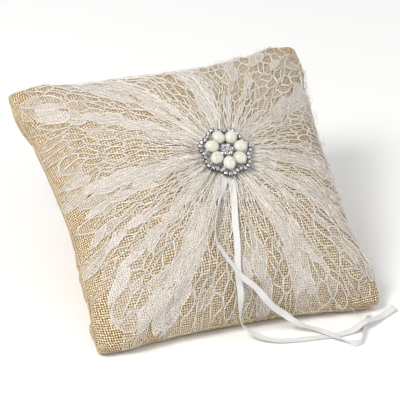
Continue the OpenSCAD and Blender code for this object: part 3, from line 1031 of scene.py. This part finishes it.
def placeMany(shape, places, turns):
    # one shape turned about z by each angle, then moved to each place
    points, faces = shape
    c, s = np.cos(turns)[:, None], np.sin(turns)[:, None]
    x, y, z = points.T
    moved = np.stack([x * c - y * s, x * s + y * c, z + 0 * c], -1) + np.asarray(places)[:, None]
    step = (np.arange(len(places)) * len(points))[:, None, None]
    return moved.reshape(-1, 3), (faces[None] + step).reshape(-1, faces.shape[1])


def circle(angle):
    # points of the unit circle at these angles, z being 0
    return np.stack([np.cos(angle), np.sin(angle), 0 * angle], -1)


def petalFrame(number, ring="pearlRing"):
    # the middle of a petal's arc, or of its pearl's seat a little further in, and the petal's angle
    angle = math.radians(brooch["turn"]) + tau * number / brooch["petals"]
    return np.array([math.cos(angle), math.sin(angle), 0]) * brooch[ring], angle


def arcPlaces(number):
    # the stones of one petal stand on an arc about its pearl
    middle, angle = petalFrame(number)
    count = brooch["arcStones"]
    around = angle + np.radians(brooch["arcStep"]) * (np.arange(count) - (count - 1) / 2)
    return middle + circle(around) * brooch["arcRing"], around


def centrePlaces():
    # one stone in the middle, the others in a ring round it
    b = brooch
    around = np.arange(b["centreStones"]) * tau / b["centreStones"]
    places = np.vstack([[[0, 0, 0]], circle(around) * b["centreRing"]])
    places[:, 2] = b["centreLift"]
    places[0, 2] += b["middleLift"]
    return places, np.concatenate([[0], around])


def cupShape():
    # a cup with a rolled rim and a conical seat
    r, h = brooch["cup"], brooch["cupHigh"]
    return revolve([(r * 0.80, 0), (r * 0.86, h * 0.3), (r * 0.96, h * 0.6), (r, h * 0.88), (r * 0.99, h),
                    (r * 0.93, h * 1.03), (r * 0.86, h * 0.97), (r * 0.4, h * 0.5), (0, h * 0.35)], 20)


def clawShape():
    # a small round-headed prong
    r, h = brooch["claw"], brooch["cupHigh"]
    return revolve([(r, h * 0.4), (r, h * 1.12), (r * 0.8, h * 1.24), (r * 0.4, h * 1.3), (0, h * 1.32)], 8)


def clawPlaces(places, turns):
    # four prongs round each cup, on the diagonals of its own turn
    corner = tau / 8 + np.arange(4) * tau / 4
    angle = turns[:, None] + corner
    return (places[:, None] + circle(angle) * brooch["cup"] * 0.93).reshape(-1, 3), angle.ravel()


def stoneShape():
    # a brilliant: table, star ring, girdle and a pavilion, each ring half a side round from the last
    r, h = brooch["stone"] * 0.93, brooch["cupHigh"]
    return revolve([(0, h + 0.00055), (r * 0.5, h + 0.00055), (r * 0.78, h + 0.00036), (r, h + 0.00004),
                    (r * 0.55, h - 0.0004), (0, h - 0.0008)], 8, (0, 0, 0.5, 0, 0.5, 0))


def barShape(number):
    # a curved rail under the arc's cups, three ribs to the hub and a dish below the pearl
    b = brooch
    middle, angle = petalFrame(number)
    spread = math.radians(b["arcStep"]) * (b["arcStones"] - 1) / 2
    line = middle + circle(angle + np.linspace(-spread, spread, 24)) * b["arcRing"]
    line[:, 2] = 0.0004
    rail = tubes(line[None], (line * 0 + (0, 0, 1))[None], b["rail"], 8, flat=0.55)
    away = np.array(b["ribs"])
    start = middle + circle(angle + away) * b["arcRing"]
    end = circle(angle + away * 0.3) * b["hub"]
    line = start[:, None] + (end - start)[:, None] * np.linspace(0, 1, 8)[:, None]
    line[..., 2] = 0.00025
    ribs = tubes(line, line * 0 + (0, 0, 1), b["rib"], 6, flat=0.5)
    dish = revolve([(0.0008, 0.0002), (0.0025, 0.0003), (0.0030, 0.0007), (0.0032, 0.0011), (0.0030, 0.00125),
                    (0.0023, 0.0009), (0.0012, 0.00055), (0, 0.00045)], 24)
    seat, _ = petalFrame(number, "pearlSeat")
    return joined(rail, ribs, placeMany(dish, [seat], np.array([angle])))


def pearlShape():
    # an egg-like ellipsoid with a slow unevenness, longest along its petal
    b = brooch
    down, around = np.meshgrid(np.linspace(0, math.pi, 20), np.arange(32) * tau / 32, indexing="ij")
    swell = 1 + 0.018 * np.cos(2 * around + 3 * down) + 0.012 * np.cos(3 * around - 2 * down)
    x = np.cos(down) * b["pearlLong"] / 2
    y = np.sin(down) * np.cos(around) * b["pearlWide"] / 2 * swell
    z = np.sin(down) * np.sin(around) * b["pearlWide"] / 2 * b["pearlFlat"] * swell + b["pearlHigh"]
    return np.stack([x, y, z], -1).reshape(-1, 3), gridFaces(20, 32, wrapColumns=True)[:, ::-1]


def silverPaint():
    # bright on top and black where the casting is deep: painted shade in the recesses and painted dark
    # reflection, under a random worn tone
    paint = Paint("silverPlate")
    deep = paint.attribute("deep")
    coords = paint.place()
    wear = paint.noise(coords, 1500.0, 3.0)
    # deep carries the painted shade and painted dark reflection: 0 leaves the silver bright, 1 turns it black
    tone = paint.ramp(deep + (wear - 0.5) * 0.5, (0.25, (0.80, 0.80, 0.82)), (0.5, (0.36, 0.35, 0.36)),
                      (0.8, (0.035, 0.032, 0.034)))
    return paint.surface(Base_Color=tone, Metallic=0.9, Roughness=0.24 + wear * 0.12,
                         Normal=paint.bump(wear, 0.15, 0.00006))


def rhinestonePaint():
    # each facet gets its own random painted brightness, from dark to white, as painted reflection and glint
    paint = Paint("rhinestone")
    spark = paint.attribute("spark")
    tone = paint.ramp(spark, (0.12, (0.05, 0.05, 0.06)), (0.36, (0.34, 0.33, 0.36)),
                      (0.6, (0.72, 0.71, 0.75)), (0.85, (1, 1, 1)))
    # painted glint: the brightest facets glow
    glintGlow = paint.ramp(spark, (0.72, (0, 0, 0)), (0.95, (0.75, 0.75, 0.78)))
    return paint.surface(Base_Color=tone, Metallic=0.35, Roughness=0.07, Coat_Weight=0.8, Coat_Roughness=0.03,
                         Emission_Color=glintGlow, Emission_Strength=0.35)


def pearlPaint():
    # cream with slow clouds under a clear coat
    paint = Paint("pearlLustre")
    coords = paint.place()
    cloud = paint.noise(coords, 170.0, 2.0)
    tone = paint.ramp(cloud, (0.3, (0.56, 0.545, 0.43)), (0.5, (0.66, 0.64, 0.55)), (0.72, (0.73, 0.69, 0.65)))
    return paint.surface(Base_Color=tone, Roughness=0.22, Coat_Weight=0.6, Coat_Roughness=0.08,
                         Sheen_Weight=0.15, Specular_IOR_Level=0.6)


def broochPiece(name, node, shape, paint, slotName, **more):
    points, faces = shape
    finished(seal(makeMesh(name, onBrooch(points), faces, paint, **more)), slotName, node)


def recessShade(points, low, high):
    # painted shade: 1 at the foot of the casting, 0 at its rims
    return 1 - smoothStep(points[:, 2], low, high)


def makeBrooch():
    b = brooch
    rng = np.random.default_rng(b["seed"])
    silver, glass, lustre = silverPaint(), rhinestonePaint(), pearlPaint()
    for number in range(b["petals"]):
        seat, angle = petalFrame(number, "pearlSeat")
        places, turns = arcPlaces(number)
        shape = joined(placeMany(cupShape(), places, turns), barShape(number),
                       placeMany(clawShape(), *clawPlaces(places, turns)))
        far = np.hypot(shape[0][:, 0], shape[0][:, 1])
        # painted shade: the cups' low walls go dark, faintly near the middle and most on the outer arcs
        deep = recessShade(shape[0], 0.0015, 0.0021) * (0.05 + 0.80 * smoothStep(far, 0.0115, 0.0145))
        broochPiece(f"petalFrame{number + 1}", f"petal_frame_{number + 1}", shape, silver, "silver_plate",
                    values={"deep": deep})
        # a random painted glint for each facet
        shape = placeMany(stoneShape(), places, turns + rng.uniform(0, 1, len(turns)))
        broochPiece(f"petalStones{number + 1}", f"petal_stones_{number + 1}", shape, glass, "rhinestone",
                    smooth=False, faceValues={"spark": rng.random(len(shape[1]))})
        shape = placeMany(pearlShape(), [seat], np.array([angle]))
        broochPiece(f"pearl{number + 1}", f"pearl_{number + 1}", shape, lustre, "pearl")
    places, turns = centrePlaces()
    disc = revolve([(0.0012, 0.0019), (0.0040, 0.0020), (0.0043, 0.0024), (0.0042, 0.0029), (0.0030, 0.0031),
                    (0, 0.0033)], 36)
    shape = joined(placeMany(cupShape(), places, turns), disc,
                   placeMany(clawShape(), *clawPlaces(places, turns)))
    lift = b["centreLift"]
    # painted shade under the centre cups' rims, weaker than on the petals
    broochPiece("centreSetting", "centre_setting", shape, silver, "silver_plate",
                values={"deep": 0.35 * recessShade(shape[0], lift + 0.0016, lift + 0.00215)})
    # a random painted glint for each facet
    shape = placeMany(stoneShape(), places, turns)
    broochPiece("centreStones", "centre_stones", shape, glass, "rhinestone", smooth=False,
                faceValues={"spark": rng.random(len(shape[1]))})
    print("brooch made")


makeBrooch()


# plate, post and threads: the ones on the cloth are drawn along its finished surface, the others kept as cut

thread = {
    "radius": 0.0003,
    "seamRadius": 0.00034,
    "stitches": 13,          # that close the bottom seam
    "stitchStep": 0.005,
    "stitchSlant": 0.011,    # half a stitch's run along the seam, as a share of the half side
    "stitchRise": 0.0009,
    "stitchWide": 0.0013,
    "tacks": 8,
    "tackHalf": 0.0015,      # half a tack's length
    "tackRise": 0.0005,
    "rim": 0.955,            # where the tacks lie, as a share of the cloth's half side
    "low": 0.0008,           # least height of a seam thread over the table
}


def threadPaint(name, light, dark):
    # spun thread with a fine mottle
    paint = Paint(name)
    coords = paint.place()
    fine = paint.noise(coords, 2600.0, 2.0)
    return paint.surface(Base_Color=paint.ramp(fine, (0.3, dark), (0.7, light)), Roughness=0.7,
                         Sheen_Weight=0.2, Normal=paint.bump(fine, 0.6, 0.0001))


def platePaint():
    # duller metal than the castings, lightly worn
    paint = Paint("brushedPlate")
    coords = paint.place()
    wear = paint.noise(coords, 900.0, 3.0)
    tone = paint.ramp(wear, (0.3, (0.55, 0.53, 0.50)), (0.7, (0.86, 0.85, 0.83)))
    return paint.surface(Base_Color=tone, Metallic=0.9, Roughness=0.3 + wear * 0.15)


def paintNode(material, slotName, *names):
    # gives kept nodes this material; slotName is not used
    for name in names:
        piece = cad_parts[name]
        piece.data.materials.clear()
        piece.data.materials.append(material)


def seamPoint(s, t):
    # a place in the seam plane, kept off the table
    x, y = plan(s, t)
    place = stand(x, y, 0 * x)
    place[..., 2] = np.maximum(place[..., 2], thread["low"])
    return place


def makeSeamThread(material):
    # one closed loop round the four sides, just proud of the seam
    along = np.linspace(-1, 1, 90)[:-1]
    one = np.ones_like(along)
    s = np.concatenate([along, one, -along, -one])
    t = np.concatenate([-one, along, one, -along])
    line = seamPoint(s * 1.002, t * 1.002)
    away = unit(line - line.mean(0))
    points, faces = tubes(line[None], away[None], thread["seamRadius"], 6, closed=True)
    finished(seal(makeMesh("seamThread", points, faces, material)), "burlap_thread", "seam_thread")


def makeClosingStitches(material):
    # slanted stitches over the middle of the bottom seam
    count = thread["stitches"]
    start = (np.arange(count) - (count - 1) / 2) * thread["stitchStep"] / cushion["half"]
    bend = np.linspace(-1, 1, 9)
    s = start[:, None] + bend * thread["stitchSlant"]
    arch = stand(0 * bend, -thread["stitchRise"] * (1 - bend ** 2), bend * thread["stitchWide"])
    line = seamPoint(s, -1.004 + 0 * s) + arch - stand(0.0, 0.0, 0.0)
    facing = unit(stand(0 * bend, -1 + 0 * bend, 0 * bend) - stand(0.0, 0.0, 0.0))
    points, faces = tubes(line, np.broadcast_to(facing, line.shape), thread["radius"], 6)
    finished(seal(makeMesh("closingStitches", points, faces, material)), "burlap_thread", "closing_stitches")


def makeLaceTacks(material):
    # short stitches that lie along the rim of the lace, which is a square with rounded corners
    angle = np.arange(thread["tacks"])[:, None] * tau / thread["tacks"]
    across, up = np.cos(angle), np.sin(angle)
    rim = thread["rim"] * cushion["cloth"] / roundedSquare(across, up)
    bend = np.linspace(-1, 1, 9)[None]
    aside = bend * thread["tackHalf"]
    x, y = rim * across - aside * up, rim * up + aside * across
    line, facing = lacePoint(x, y, 0.0002 + thread["tackRise"] * (1 - bend ** 2) + 0 * x)
    points, faces = tubes(line, facing, thread["radius"], 6)
    finished(seal(makeMesh("laceTacks", points, faces, material)), "lace_thread", "lace_tacks")


ivoryThread = threadPaint("ivoryThread", (0.86, 0.82, 0.73), (0.62, 0.56, 0.46))
paintNode(platePaint(), "silver_plate", "brooch_base", "centre_post")
paintNode(ivoryThread, "lace_thread", "gather_thread", "brooch_stitches")
makeLaceTacks(ivoryThread)
burlapThread = threadPaint("burlapThread", (0.72, 0.58, 0.38), (0.42, 0.31, 0.17))
makeSeamThread(burlapThread)
makeClosingStitches(burlapThread)
paintNode(satin, "satin", "ribbon_fold")


# floor, light

lighting = {
    "sky": 0.60,
    "lamps": (("key", (-0.9, -0.35, 1.2), 0.5, 16.5, (1.0, 0.985, 0.96)),  # place, size, power, colour
              ("fill", (1.0, -0.9, 0.9), 0.8, 4.6, (1, 1, 1))),
    "floor": 4.0,  # half the floor's side
}


def makeStage():
    paint = Paint("paleFloor")
    coords = paint.place()
    grain = paint.noise(coords, 3.0, 2.0)
    look = paint.surface(Base_Color=paint.ramp(grain, (0.3, (0.93, 0.93, 0.93)), (0.7, (0.95, 0.95, 0.95))),
                         Roughness=0.7)
    corners = np.array([[-1, -1, 0], [1, -1, 0], [1, 1, 0], [-1, 1, 0]]) * lighting["floor"]
    floor = makeMesh("floor", corners, [[0, 1, 2, 3]], look)


def makeLight(name, place, size, power, colour):
    # an area light that looks at the middle of the cushion
    data = bpy.data.lights.new(name, "AREA")
    data.size, data.energy, data.color = size, power, colour
    lamp = bpy.data.objects.new(name, data)
    aim = Vector(view["middle"]) - Vector(place)
    lamp.location = place
    lamp.rotation_euler = aim.to_track_quat("-Z", "Y").to_euler()
    bpy.context.scene.collection.objects.link(lamp)


def makeSky(strength):
    world = bpy.data.worlds.new("softSky")
    world.use_nodes = True
    sky = world.node_tree.nodes["Background"]
    sky.inputs["Color"].default_value = (1, 1, 1, 1)
    sky.inputs["Strength"].default_value = strength
    bpy.context.scene.world = world


makeStage()
makeSky(lighting["sky"])
for lamp in lighting["lamps"]:
    makeLight(*lamp)
bpy.context.scene.view_settings.view_transform = "Standard"
print("stage and lights made")
